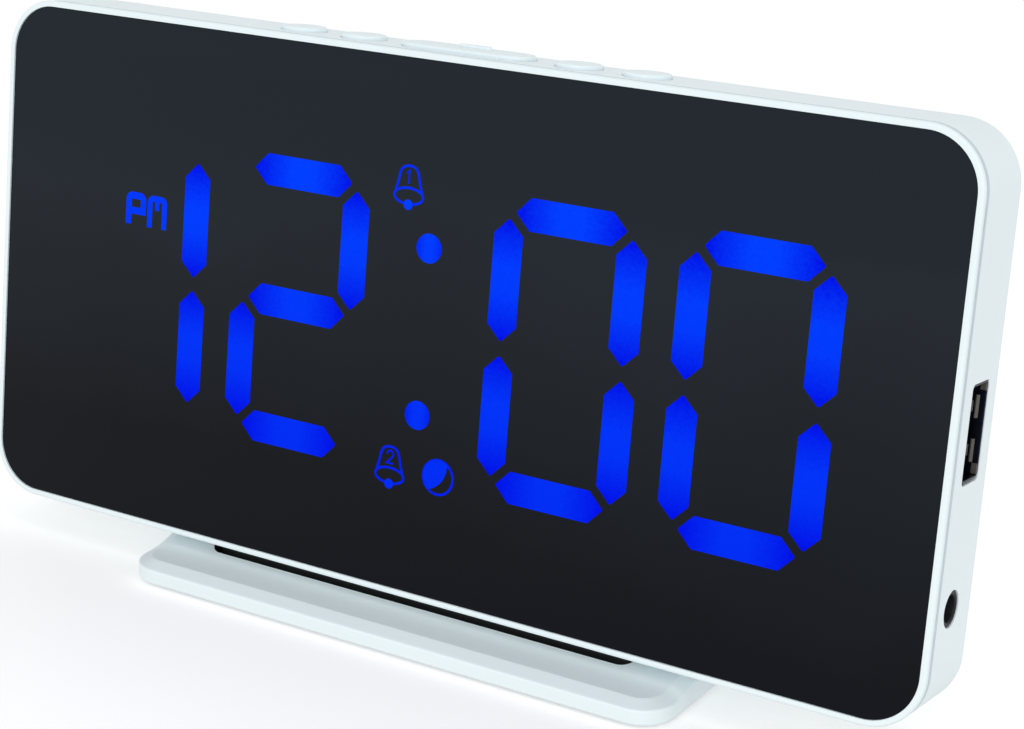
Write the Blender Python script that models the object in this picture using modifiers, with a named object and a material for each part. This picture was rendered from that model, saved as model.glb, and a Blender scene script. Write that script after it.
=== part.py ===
"""Digital alarm clock: a thin upright case on a ramp shaped foot.

Metres, +Z up. The dial faces -Y and the table is the plane z = 0.
The case leans back, so its pieces are modelled upright in their own frame
(x to the right, y into the case, z up, origin at the middle of the window's
front face) and are parented to an empty that carries the lean.
"""

import math

import bmesh
import bpy
from mathutils import Matrix, Vector

MM = 0.001
COLLECTION = "alarm_clock"

# Case
LEAN = math.radians(7.0)
CASE_W = 162.0
CASE_H = 80.0
CASE_FRONT = -0.3
CASE_BACK = 14.0
CASE_RADIUS = 8.5
CASE_WALL = 2.0
REAR_EDGE = 1.4
RIM = 0.95
WINDOW_SEAT = 1.25
LEDGE_BACK = 2.35
LEDGE_W = 146.0
LEDGE_H = 64.0
GAP = 0.3
CASE_FLOOR_Y = -17.0
CASE_FLOOR_Z = 5.6

# Rear cover and its screws
COVER_FRONT = 12.5
COVER_BACK = 13.9
POST_X = 75.6
POST_Z = 34.8
POST_END = 11.4

# Display
BOX_FRONT = 1.45
BOX_BACK = 5.45
DIGIT_X = (-52.1, -22.8, 22.8, 52.1)
COLUMN = 9.8
ROW = 19.65
SEGMENT_LENGTH = 17.64
SEGMENT_WIDTH = 4.72
DOT_RADIUS = 2.15
DOT_Z = 12.29

# Buttons on top of the case
BUTTON_RADIUS = 3.35
BUTTON_Y = 6.7
BUTTON_X = (-29.0, -18.2, 18.2, 29.0)
BUTTON_NAMES = ("left_outer_button", "left_inner_button", "right_inner_button", "right_outer_button")
BUTTON_PROUD = 0.45
BAR_HALF = 7.4
FLANGE = 0.85
SENSOR_X = -39.8

# Sockets in the right-hand wall
USB_Y = 7.0
USB_Z = 0.25
JACK_Y = 6.0
JACK_Z = -23.4

# Coin cell
CELL_X = 30.0
CELL_Z = -2.0

# Foot
FOOT_W = 93.6
FOOT_FRONT = -25.0
FOOT_BACK = 25.0
FOOT_RADIUS = 5.2
FOOT_BOTTOM = 0.4
FOOT_BEVEL = 2.1
FOOT_BEVEL_DROP = 0.95
SLOT_HALF = 37.8
SLOT_FRONT = -16.6
SLOT_BACK = -4.2


def clear_scene():
    for old in list(bpy.data.objects):
        bpy.data.objects.remove(old, do_unlink=True)


clear_scene()
parts = bpy.data.collections.new(COLLECTION)
tools = bpy.data.collections.new("cutters")
bpy.context.scene.collection.children.link(parts)
bpy.context.scene.collection.children.link(tools)


def material(name, color, roughness, metallic=0.0):
    made = bpy.data.materials.new(name)
    made.use_nodes = True
    shader = made.node_tree.nodes["Principled BSDF"]
    shader.inputs["Base Color"].default_value = (*color, 1.0)
    shader.inputs["Roughness"].default_value = roughness
    shader.inputs["Metallic"].default_value = metallic
    made.diffuse_color = (*color, 1.0)
    return made


WHITE = material("white_plastic", (0.80, 0.86, 0.88), 0.35)
SMOKE = material("smoked_acrylic", (0.016, 0.021, 0.028), 0.05)
BLUE = material("blue_light_guide", (0.0, 0.03, 0.9), 0.4)
BLACK = material("black_plastic", (0.012, 0.013, 0.015), 0.5)
BOARD = material("circuit_board", (0.02, 0.10, 0.05), 0.45)
STEEL = material("bright_steel", (0.62, 0.63, 0.65), 0.25, 1.0)
BRASS = material("contact_brass", (0.72, 0.52, 0.24), 0.3, 1.0)
RUBBER = material("grey_rubber", (0.10, 0.10, 0.11), 0.8)

lean = bpy.data.objects.new("case_lean", None)
lean.empty_display_size = 0.02
parts.objects.link(lean)


def finish(shape, name, origin, look, cutter, tilted):
    """Makes an object of a bmesh given in mm in the case's or the table's frame."""
    bmesh.ops.recalc_face_normals(shape, faces=shape.faces)
    bmesh.ops.transform(shape, matrix=Matrix.Scale(MM, 4), verts=shape.verts)
    bmesh.ops.translate(shape, vec=-Vector(origin) * MM, verts=shape.verts)
    mesh = bpy.data.meshes.new(name)
    shape.to_mesh(mesh)
    shape.free()
    made = bpy.data.objects.new(name, mesh)
    made.location = Vector(origin) * MM
    if tilted:
        made.parent = lean
    if cutter:
        tools.objects.link(made)
        made.hide_render = True
        made.display_type = "WIRE"
    else:
        parts.objects.link(made)
        mesh.materials.append(look)
    return made


def smooth(thing, degrees=35.0):
    thing.data.shade_smooth()
    thing.data.set_sharp_from_angle(angle=math.radians(degrees))


def arc(centre, radius, start, end, steps):
    points = []
    for i in range(steps + 1):
        angle = math.radians(start + (end - start) * i / steps)
        points.append((centre[0] + radius * math.cos(angle), centre[1] + radius * math.sin(angle)))
    return points


def rounded(width, height, radius, centre=(0.0, 0.0), steps=8):
    """Corners of a rectangle with round corners, anticlockwise."""
    half_w = width / 2 - radius
    half_h = height / 2 - radius
    points = []
    for sign_x, sign_y, start in ((1, 1, 0), (-1, 1, 90), (-1, -1, 180), (1, -1, 270)):
        corner = (centre[0] + sign_x * half_w, centre[1] + sign_y * half_h)
        points += arc(corner, radius, start, start + 90, steps)
    return points


def rectangle(width, height, centre):
    left = centre[0] - width / 2
    low = centre[1] - height / 2
    return [(left, low), (left + width, low), (left + width, low + height), (left, low + height)]


def circle(radius, centre=(0.0, 0.0), steps=32):
    return arc(centre, radius, 0.0, 360.0, steps)[:-1]


def stadium(half, radius, centre=(0.0, 0.0), steps=16):
    right = arc((centre[0] + half, centre[1]), radius, -90, 90, steps)
    left = arc((centre[0] - half, centre[1]), radius, 90, 270, steps)
    return right + left


def segment(centre, upright, grow=0.0):
    """One bar of a seven segment digit, with pointed ends."""
    long = SEGMENT_LENGTH / 2 + grow * 1.2
    wide = SEGMENT_WIDTH / 2 + grow
    points = [
        (-long, 0),
        (-long + wide, -wide),
        (long - wide, -wide),
        (long, 0),
        (long - wide, wide),
        (-long + wide, wide),
    ]
    if upright:
        points = [(-v, u) for u, v in points]
    return [(centre[0] + u, centre[1] + v) for u, v in points]


def nested(outlines):
    """Whether the first outline surrounds the second."""
    if len(outlines) < 2:
        return False
    reach = [max(u for u, v in outline) for outline in outlines[:2]]
    start = [min(u for u, v in outline) for outline in outlines[:2]]
    return start[0] < start[1] and reach[0] > reach[1]


def flat(outlines, low, high, plane):
    """A flat outline, with holes where outlines lie inside others, as a bmesh in mm.

    plane "XZ" is seen from the front and runs in y from low to high,
    plane "XY" is seen from above and runs in z from low to high.
    """
    curve = bpy.data.curves.new("outline", "CURVE")
    curve.dimensions = "2D"
    curve.fill_mode = "BOTH"
    curve.extrude = (high - low) / 2
    for outline in outlines:
        spline = curve.splines.new("POLY")
        spline.points.add(len(outline) - 1)
        for point, (u, v) in zip(spline.points, outline):
            point.co = (u, v, 0.0, 1.0)
        spline.use_cyclic_u = True
    holder = bpy.data.objects.new("outline", curve)
    tools.objects.link(holder)
    if plane == "XZ":
        holder.rotation_euler = (math.radians(90), 0.0, 0.0)
        holder.location = (0.0, (low + high) / 2, 0.0)
    else:
        holder.location = (0.0, 0.0, (low + high) / 2)
    bpy.context.view_layer.update()
    graph = bpy.context.evaluated_depsgraph_get()
    mesh = bpy.data.meshes.new_from_object(holder.evaluated_get(graph))
    shape = bmesh.new()
    shape.from_mesh(mesh)
    bmesh.ops.transform(shape, matrix=holder.matrix_world, verts=shape.verts)
    bmesh.ops.remove_doubles(shape, verts=shape.verts, dist=0.0005)
    if not nested(outlines):
        bmesh.ops.dissolve_limit(shape, angle_limit=math.radians(1), verts=shape.verts, edges=shape.edges)
    bpy.data.objects.remove(holder, do_unlink=True)
    bpy.data.curves.remove(curve)
    bpy.data.meshes.remove(mesh)
    return shape


def plate(name, outlines, low, high, look=None, plane="XZ", origin=(0, 0, 0), cutter=False, tilted=True):
    return finish(flat(outlines, low, high, plane), name, origin, look, cutter, tilted)


def box(name, low, high, look=None, origin=(0, 0, 0), cutter=False, tilted=True):
    shape = bmesh.new()
    bmesh.ops.create_cube(shape, size=1.0)
    size = [b - a for a, b in zip(low, high)]
    middle = [(a + b) / 2 for a, b in zip(low, high)]
    bmesh.ops.scale(shape, vec=size, verts=shape.verts)
    bmesh.ops.translate(shape, vec=middle, verts=shape.verts)
    return finish(shape, name, origin, look, cutter, tilted)


def turned(name, profile, axis, centre, look=None, cutter=False, tilted=True, steps=32):
    """A profile of (radius, place along the axis), from low to high, turned about its axis."""
    outline = [(0.0, profile[-1][1]), *reversed(profile), (0.0, profile[0][1])]
    shape = bmesh.new()
    points = [shape.verts.new((radius, 0.0, along)) for radius, along in outline]
    for upper, lower in zip(points, points[1:]):
        shape.edges.new((upper, lower))
    made = finish(shape, name, (0, 0, 0), look, cutter, tilted)
    made.location = Vector(centre) * MM
    if axis == "Y":
        made.rotation_euler = (math.radians(-90), 0.0, 0.0)
    if axis == "X":
        made.rotation_euler = (0.0, math.radians(90), 0.0)
    change = made.modifiers.new("turn", "SCREW")
    change.axis = "Z"
    change.angle = math.radians(360)
    change.steps = steps
    change.render_steps = steps
    change.use_merge_vertices = True
    change.merge_threshold = 0.000001
    return made


def combine(target, tool, operation):
    change = target.modifiers.new(operation.lower(), "BOOLEAN")
    change.operation = operation
    change.solver = "EXACT"
    change.object = tool
    return change


def round_edges(target, width, segments=2, degrees=40.0):
    change = target.modifiers.new("round_edges", "BEVEL")
    change.width = width * MM
    change.segments = segments
    change.limit_method = "ANGLE"
    change.angle_limit = math.radians(degrees)
    change.use_clamp_overlap = True
    return change


def cross_recess(screw, name, centre, inward, tilted):
    """Sinks a cross of two bars into a screw's head; inward is the way into the head."""
    for bar, (long, wide, depth) in (("u", (1.1, 0.25, 0.40)), ("v", (0.25, 1.1, 0.36))):
        if inward == "-Y":
            low = (centre[0] - long, centre[1] - depth, centre[2] - wide)
            high = (centre[0] + long, centre[1] + 0.5, centre[2] + wide)
        else:
            low = (centre[0] - long, centre[1] - wide, centre[2] - 0.5)
            high = (centre[0] + long, centre[1] + wide, centre[2] + depth)
        tool = box(f"{name}_cross_{bar}", low, high, cutter=True, tilted=tilted)
        combine(screw, tool, "DIFFERENCE")


# ---------------------------------------------------------------- front case


front_case = plate("front_case", [rounded(CASE_W, CASE_H, CASE_RADIUS)], CASE_FRONT, CASE_BACK, WHITE)
edge = round_edges(front_case, REAR_EDGE, 3, 60.0)
edge.limit_method = "WEIGHT"
weights = front_case.data.attributes.new("bevel_weight_edge", "FLOAT", "EDGE")
for index, rim_edge in enumerate(front_case.data.edges):
    ends = [front_case.data.vertices[v].co.y for v in rim_edge.vertices]
    if min(ends) > (CASE_BACK - 0.1) * MM:
        weights.data[index].value = 1.0
    if max(ends) < (CASE_FRONT + 0.1) * MM:
        weights.data[index].value = 0.22
groove = plate(
    "case_groove_cutter",
    [
        rounded(CASE_W + 3, CASE_H + 3, CASE_RADIUS + 1.5),
        rounded(CASE_W - 0.7, CASE_H - 0.7, CASE_RADIUS - 0.35),
    ],
    0.55,
    1.0,
    cutter=True,
)
seat = plate(
    "window_seat_cutter",
    [rounded(CASE_W - 2 * RIM, CASE_H - 2 * RIM, CASE_RADIUS - RIM)],
    CASE_FRONT - 1,
    WINDOW_SEAT,
    cutter=True,
)
mouth = plate(
    "case_mouth_cutter",
    [rounded(LEDGE_W, LEDGE_H, 3.0, (0.0, 0.0), 3)],
    WINDOW_SEAT - 0.5,
    LEDGE_BACK + 1,
    cutter=True,
)

# The hollow behind the ledge leaves four screw posts and a boss at each of them.
hollow = plate(
    "case_hollow_cutter",
    [
        rounded(CASE_W - 2 * CASE_WALL, CASE_H - 2 * CASE_WALL, CASE_RADIUS - CASE_WALL),
        *[circle(2.4, (sx * (POST_X - 1.0), sz * (POST_Z - 1.0)), 16) for sx in (-1, 1) for sz in (-1, 1)],
    ],
    LEDGE_BACK,
    CASE_BACK + 1,
    cutter=True,
)
post_top = plate(
    "post_top_cutter",
    [circle(2.6, (sx * (POST_X - 1.0), sz * (POST_Z - 1.0)), 16) for sx in (-1, 1) for sz in (-1, 1)],
    POST_END,
    CASE_BACK + 2,
    cutter=True,
)
cover_seat = plate(
    "cover_seat_cutter",
    [rounded(CASE_W - 3.4, CASE_H - 3.4, CASE_RADIUS - 1.7)],
    COVER_FRONT - GAP,
    CASE_BACK + 1.5,
    cutter=True,
)
pilot = plate(
    "post_pilot_cutter",
    [circle(1.3, (sx * (POST_X - 1.0), sz * (POST_Z - 1.0)), 10) for sx in (-1, 1) for sz in (-1, 1)],
    4.0,
    CASE_BACK,
    cutter=True,
)
top_holes = plate(
    "button_hole_cutter",
    [circle(BUTTON_RADIUS + GAP, (x, BUTTON_Y), 24) for x in BUTTON_X]
    + [stadium(BAR_HALF, BUTTON_RADIUS + GAP, (0.0, BUTTON_Y), 12), circle(0.75, (SENSOR_X, 6.2), 16)],
    CASE_H / 2 - CASE_WALL - 0.5,
    CASE_H / 2 + 1,
    plane="XY",
    cutter=True,
)
usb_hole = box(
    "usb_hole_cutter",
    (CASE_W / 2 - 3, USB_Y - 2.95, USB_Z - 6.75),
    (CASE_W / 2 + 1, USB_Y + 2.95, USB_Z + 6.75),
    cutter=True,
)
jack_hole = turned(
    "jack_hole_cutter",
    [(2.8, -3.0), (2.8, 1.0)],
    "X",
    (CASE_W / 2, JACK_Y, JACK_Z),
    cutter=True,
)
tongue_slots = plate(
    "tongue_slot_cutter",
    [rounded(13.0, 5.6, 0.8, (x, 7.5), 3) for x in (-24.0, 24.0)],
    -CASE_H / 2 - 1,
    -CASE_H / 2 + CASE_WALL + 0.5,
    plane="XY",
    cutter=True,
)
for tool in (
    groove,
    seat,
    mouth,
    hollow,
    post_top,
    cover_seat,
    pilot,
    top_holes,
    usb_hole,
    jack_hole,
    tongue_slots,
):
    combine(front_case, tool, "DIFFERENCE")

# ---------------------------------------------------------------- window and display

window = plate(
    "window_panel",
    [rounded(CASE_W - 2 * RIM - 0.5, CASE_H - 2 * RIM - 0.5, CASE_RADIUS - RIM - 0.25)],
    0.0,
    1.0,
    SMOKE,
)


def digit_segments(x, shown, grow=0.0):
    """Outlines of a digit's bars by their usual letters, a to g."""
    places = {
        "a": ((x, ROW), False),
        "b": ((x + COLUMN, ROW / 2), True),
        "c": ((x + COLUMN, -ROW / 2), True),
        "d": ((x, -ROW), False),
        "e": ((x - COLUMN, -ROW / 2), True),
        "f": ((x - COLUMN, ROW / 2), True),
        "g": ((x, 0.0), False),
    }
    return [segment(*places[letter], grow) for letter in shown]


def centre_marks(grow=0.0):
    return [
        circle(DOT_RADIUS + grow, (0.0, DOT_Z), 16),
        circle(DOT_RADIUS + grow, (0.0, -DOT_Z), 16),
        rounded(5.8 + 2 * grow, 7.0 + 2 * grow, 1.0, (-4.15, 20.5), 2),
        rounded(5.8 + 2 * grow, 7.0 + 2 * grow, 1.0, (-4.15, -20.95), 2),
        circle(2.9 + grow, (4.3, -20.7), 16),
    ]


def pm_marks(grow=0.0):
    return [rounded(8.6 + 2 * grow, 5.6 + 2 * grow, 0.8, (-52.05, 10.0), 2)]


DIGIT_BARS = ("bc", "abcdefg", "abcdefg", "abcdefg")
CAVITY = 0.2
cavities = centre_marks(CAVITY) + pm_marks(CAVITY)
for x, letters in zip(DIGIT_X, DIGIT_BARS):
    cavities += digit_segments(x, letters, CAVITY)
light_box = plate(
    "light_box",
    [rounded(131.4, 53.0, 2.0, (0.0, 0.0), 3)] + cavities,
    BOX_FRONT,
    BOX_BACK,
    BLACK,
)


def lens(name, marks, web):
    """Light guides that stand in the light box's cavities, joined by a thin web behind it."""
    made = plate(name, [web], BOX_BACK + GAP, BOX_BACK + GAP + 0.5, BLUE)
    prisms = plate(name + "_prisms", marks, BOX_FRONT, BOX_BACK + GAP + 0.25, cutter=True)
    combine(made, prisms, "UNION")
    return made


lens(
    "digit_1_lens",
    digit_segments(DIGIT_X[0], "bc"),
    rounded(6.0, 40.0, 0.6, (DIGIT_X[0] + COLUMN, 0.0), 2),
)
for number, x in zip((2, 3, 4), DIGIT_X[1:]):
    lens(f"digit_{number}_lens", digit_segments(x, "abcdefg"), rounded(25.4, 45.2, 0.6, (x, 0.0), 2))
lens("centre_marks_lens", centre_marks(), rounded(15.2, 49.6, 0.6, (0.0, -0.4), 2))
lens("pm_mark_lens", pm_marks(), rounded(9.6, 6.6, 0.6, (-52.05, 10.0), 2))

display_board = plate("display_board", [rounded(132.0, 60.0, 1.0, (-4.0, 0.0), 2)], 7.0, 8.0, BOARD)
led_places = []
for x, letters in zip(DIGIT_X, DIGIT_BARS):
    for letter in letters:
        outline = digit_segments(x, letter)[0]
        led_places.append((sum(p[0] for p in outline) / 6, sum(p[1] for p in outline) / 6))
led_places += [(0.0, DOT_Z), (0.0, -DOT_Z), (-4.15, 20.5), (-4.15, -20.95), (4.3, -20.7), (-52.05, 10.0)]
led_outlines = [rectangle(2.8, 2.8, place) for place in led_places]
leds = plate("led_bumps", led_outlines, 6.5, 7.4, cutter=True)
combine(display_board, leds, "UNION")

clock_chip = box("clock_chip", (-6.0, 8.2, -14.0), (4.0, 9.6, -4.0), BLACK)
round_edges(clock_chip, 0.2, 1)

buzzer = turned(
    "buzzer",
    [(5.9, 8.3), (6.0, 8.4), (6.0, 11.4), (5.6, 11.8)],
    "Y",
    (-40.0, 0, 0),
    BLACK,
    steps=28,
)
port = turned("buzzer_port_cutter", [(1.1, 10.0), (1.1, 12.6)], "Y", (-40.0, 0, 0), cutter=True, steps=16)
combine(buzzer, port, "DIFFERENCE")

# ---------------------------------------------------------------- coin cell

holder = plate("cell_holder", [circle(12.0, (CELL_X, CELL_Z), 32)], 8.2, 11.2, BLACK)
holder_well = plate("cell_holder_well", [circle(10.9, (CELL_X, CELL_Z), 32)], 8.7, 12.0, cutter=True)
combine(holder, holder_well, "DIFFERENCE")
cell = turned(
    "coin_cell",
    [(9.2, 9.1), (9.4, 9.4), (10.0, 9.5), (10.0, 12.2)],
    "Y",
    (CELL_X, 0, CELL_Z),
    STEEL,
    steps=32,
)
minus = plate("cell_contact_minus", [rounded(9.0, 3.0, 0.5, (CELL_X, CELL_Z), 2)], 8.78, 9.0, BRASS)
plus = box(
    "cell_contact_plus",
    (CELL_X - 2.0, 8.85, CELL_Z - 10.65),
    (CELL_X + 2.0, 11.1, CELL_Z - 10.35),
    BRASS,
)

# ---------------------------------------------------------------- rear cover and battery cap

lug_ring = []
for start in (-66.0, 114.0):
    lug_ring.append(
        arc((CELL_X, CELL_Z), 12.5, start, start + 34, 4) + arc(
            (CELL_X, CELL_Z),
            10.5,
            start + 34,
            start,
            4,
        ),
    )
sound_holes = [circle(0.8, (-40.0, 0.0), 8)]
for i in range(6):
    angle = math.radians(60 * i)
    sound_holes.append(circle(0.8, (-40.0 + 3.4 * math.cos(angle), 3.4 * math.sin(angle)), 8))
for i in range(12):
    angle = math.radians(30 * i + 15)
    sound_holes.append(circle(0.8, (-40.0 + 6.6 * math.cos(angle), 6.6 * math.sin(angle)), 8))
screw_places = [(sx * (POST_X - 1.0), sz * (POST_Z - 1.0)) for sx in (-1, 1) for sz in (-1, 1)]
neck_places = [(-24.0, -34.9), (24.0, -34.9)]

rear_cover = plate(
    "rear_cover",
    [rounded(CASE_W - 4.0, CASE_H - 4.0, CASE_RADIUS - 2.0)],
    COVER_FRONT,
    COVER_BACK,
    WHITE,
)
holes = [circle(11.3, (CELL_X, CELL_Z), 36)] + sound_holes
cover_holes = plate("cover_hole_cutter", holes, COVER_FRONT - 1, COVER_BACK + 1, cutter=True)
cap_recess = plate(
    "cap_recess_cutter",
    [circle(12.95, (CELL_X, CELL_Z), 36)],
    13.05,
    COVER_BACK + 1,
    cutter=True,
)
cap_notches = plate("cap_notch_cutter", lug_ring, COVER_FRONT - 1, COVER_BACK + 1, cutter=True)
bosses = plate(
    "screw_boss",
    [circle(2.95, place, 20) for place in screw_places + neck_places],
    11.7,
    12.9,
    cutter=True,
)
heads = plate(
    "head_cutter",
    [circle(2.5, place, 18) for place in screw_places + neck_places],
    12.6,
    15.0,
    cutter=True,
)
shanks = plate(
    "shank_cutter",
    [circle(1.35, place, 12) for place in screw_places + neck_places],
    11.0,
    15.0,
    cutter=True,
)
combine(rear_cover, bosses, "UNION")
for tool in (cover_holes, cap_recess, cap_notches, heads, shanks):
    combine(rear_cover, tool, "DIFFERENCE")

battery_cap = plate(
    "battery_cap",
    [circle(12.6, (CELL_X, CELL_Z), 36)],
    13.25,
    COVER_BACK,
    WHITE,
    origin=(CELL_X, 13.4, CELL_Z),
)
plug = plate("cap_plug", [circle(10.95, (CELL_X, CELL_Z), 36)], 11.6, 13.5, cutter=True)
plug_hollow = plate("cap_hollow_cutter", [circle(10.35, (CELL_X, CELL_Z), 36)], 11.0, 12.5, cutter=True)
lug_outlines = []
for start in (-13.0, 167.0):
    lug_outlines.append(
        arc((CELL_X, CELL_Z), 12.3, start, start + 26, 3) + arc((CELL_X, CELL_Z), 10.6, start + 26, start, 3)
    )
lugs = plate("cap_lugs", lug_outlines, 11.6, 12.2, cutter=True)
coin_slot = plate(
    "coin_slot_cutter",
    [stadium(6.0, 0.9, (CELL_X, CELL_Z), 6)],
    13.3,
    COVER_BACK + 1,
    cutter=True,
)
combine(battery_cap, plug, "UNION")
combine(battery_cap, plug_hollow, "DIFFERENCE")
combine(battery_cap, lugs, "UNION")
combine(battery_cap, coin_slot, "DIFFERENCE")


def cover_screw(name, place, tip):
    """A pan head screw that holds the rear cover, with a cross recess."""
    profile = [(0.6, tip), (1.05, tip + 0.8), (1.05, 12.9), (2.1, 12.9), (2.1, 13.3), (1.7, 13.75)]
    screw = turned(name, profile, "Y", (place[0], 0, place[1]), STEEL, steps=16)
    cross_recess(screw, name, (place[0], 13.75, place[1]), "-Y", True)


for number, place in enumerate(screw_places, 1):
    cover_screw(f"cover_screw_{number}", place, 4.6)
for number, place in enumerate(neck_places, 1):
    cover_screw(f"neck_screw_{number}", place, 6.4)

# ---------------------------------------------------------------- buttons, switches and sensor

button_board = box("button_board", (-44.0, 3.0, 32.9), (36.0, 11.0, 33.9), BOARD)

for number, x in enumerate((*BUTTON_X[:2], 0.0, *BUTTON_X[2:]), 1):
    switch = box(f"switch_{number}", (x - 2.3, BUTTON_Y - 2.3, 34.1), (x + 2.3, BUTTON_Y + 2.3, 35.8), BLACK)
    round_edges(switch, 0.2, 1)
    plunger = turned(
        f"switch_{number}_plunger", [(1.0, 35.4), (1.0, 36.3)], "Z", (x, BUTTON_Y, 0), cutter=True, steps=16
    )
    combine(switch, plunger, "UNION")

for name, x in zip(BUTTON_NAMES, BUTTON_X):
    profile = [
        (BUTTON_RADIUS + FLANGE, -3.0),
        (BUTTON_RADIUS + FLANGE, -2.4),
        (BUTTON_RADIUS, -2.4),
        (BUTTON_RADIUS, BUTTON_PROUD - 0.2),
        (BUTTON_RADIUS - 0.06, BUTTON_PROUD - 0.07),
        (BUTTON_RADIUS - 0.2, BUTTON_PROUD),
    ]
    turned(name, profile, "Z", (x, BUTTON_Y, CASE_H / 2), WHITE, steps=28)

bar_pivot = (0.0, BUTTON_Y, CASE_H / 2)
snooze_bar = plate(
    "snooze_bar",
    [stadium(BAR_HALF, BUTTON_RADIUS, (0.0, BUTTON_Y), 12)],
    37.3,
    CASE_H / 2 + BUTTON_PROUD,
    WHITE,
    plane="XY",
    origin=bar_pivot,
)
bar_flange = plate(
    "bar_flange",
    [stadium(BAR_HALF, BUTTON_RADIUS + FLANGE, (0.0, BUTTON_Y), 10)],
    37.0,
    37.6,
    plane="XY",
    cutter=True,
)
bar_rib = plate(
    "bar_rib",
    [stadium(2.1, 0.55, (0.0, 8.3), 5)],
    40.2,
    CASE_H / 2 + BUTTON_PROUD + 0.22,
    plane="XY",
    cutter=True,
)
round_edges(snooze_bar, 0.2, 2)
combine(snooze_bar, bar_flange, "UNION")
combine(snooze_bar, bar_rib, "UNION")

sensor = turned("light_sensor", [(0.5, 34.1), (0.5, 39.7)], "Z", (SENSOR_X, 6.2, 0), SMOKE, steps=16)

# ---------------------------------------------------------------- sockets

usb_back = 66.6
usb_mouth = CASE_W / 2 - 0.25
usb_shell = box(
    "usb_shell",
    (usb_back, USB_Y - 2.75, USB_Z - 6.55),
    (usb_mouth, USB_Y + 2.75, USB_Z + 6.55),
    STEEL,
)
usb_room = box(
    "usb_room_cutter",
    (usb_back - 1, USB_Y - 2.45, USB_Z - 6.25),
    (usb_mouth + 1, USB_Y + 2.45, USB_Z + 6.25),
    cutter=True,
)
combine(usb_shell, usb_room, "DIFFERENCE")
usb_insulator = box(
    "usb_insulator",
    (usb_back + 0.3, USB_Y - 2.2, USB_Z - 6.0),
    (usb_back + 3.2, USB_Y + 2.2, USB_Z + 6.0),
    BLACK,
)
tongue = box(
    "usb_tongue",
    (usb_back + 2.0, USB_Y - 1.95, USB_Z - 5.5),
    (usb_mouth - 1.4, USB_Y - 0.15, USB_Z + 5.5),
    cutter=True,
)
combine(usb_insulator, tongue, "UNION")
for number, z in enumerate((-3.5, -1.0, 1.0, 3.5), 1):
    box(
        f"usb_contact_{number}",
        (usb_back + 3.5, USB_Y, USB_Z + z - 0.5),
        (usb_mouth - 2.2, USB_Y + 0.22, USB_Z + z + 0.5),
        BRASS,
    )

jack_front = CASE_W / 2 - 0.2
dc_jack = box("dc_jack_body", (69.0, JACK_Y - 3.4, JACK_Z - 4.0), (77.8, JACK_Y + 3.4, JACK_Z + 4.0), BLACK)
barrel = turned(
    "jack_barrel",
    [(2.5, 77.0), (2.5, jack_front)],
    "X",
    (0, JACK_Y, JACK_Z),
    cutter=True,
    steps=28,
)
bore = turned(
    "jack_bore_cutter",
    [(1.75, 70.5), (1.75, 82.0)],
    "X",
    (0, JACK_Y, JACK_Z),
    cutter=True,
    steps=24,
)
pin_hole = turned(
    "jack_pin_hole",
    [(0.9, 68.0), (0.9, 71.0)],
    "X",
    (0, JACK_Y, JACK_Z),
    cutter=True,
    steps=16,
)
combine(dc_jack, barrel, "UNION")
combine(dc_jack, bore, "DIFFERENCE")
combine(dc_jack, pin_hole, "DIFFERENCE")
turned(
    "jack_pin",
    [(1.4, 68.2), (1.4, 68.7), (0.65, 68.7), (0.65, 79.2), (0.45, 79.5)],
    "X",
    (0, JACK_Y, JACK_Z),
    STEEL,
    steps=16,
)

power_board = box("power_board", (57.5, 10.2, -30.0), (77.6, 11.0, 11.0), BOARD)
header = box("board_header", (58.5, 8.2, -6.0), (61.0, 10.0, 6.0), BLACK)

# ---------------------------------------------------------------- neck between case and foot

neck_bottom = -42.65
neck = plate(
    "neck",
    [rounded(2 * SLOT_HALF - 1.4, 8.6, 1.6, (0.0, 7.3), 4)],
    neck_bottom,
    -40.3,
    BLACK,
    plane="XY",
)
tongues = plate(
    "neck_tongues",
    [rounded(12.4, 5.0, 0.5, (x, 7.5), 2) for x in (-24.0, 24.0)],
    -41.0,
    -31.6,
    plane="XY",
    cutter=True,
)
tongue_bores = plate(
    "neck_bore_cutter",
    [circle(1.3, place, 16) for place in neck_places],
    4.0,
    11.0,
    cutter=True,
)
combine(neck, tongues, "UNION")
combine(neck, tongue_bores, "DIFFERENCE")

# ---------------------------------------------------------------- foot


def ramp(y):
    """Height of the foot's top: level in front, rising to a lip that cups the case, then level."""
    ahead = y - CASE_FLOOR_Y
    case_underside = CASE_FLOOR_Z - ahead * math.tan(LEAN) - 0.35
    lift = 3.6
    if ahead > -2.5:
        lift = 3.6 + 0.031 * (ahead + 2.5) ** 2
    if ahead > 0.0:
        lift = min(lift, case_underside)
    return max(lift, 3.5)


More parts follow.
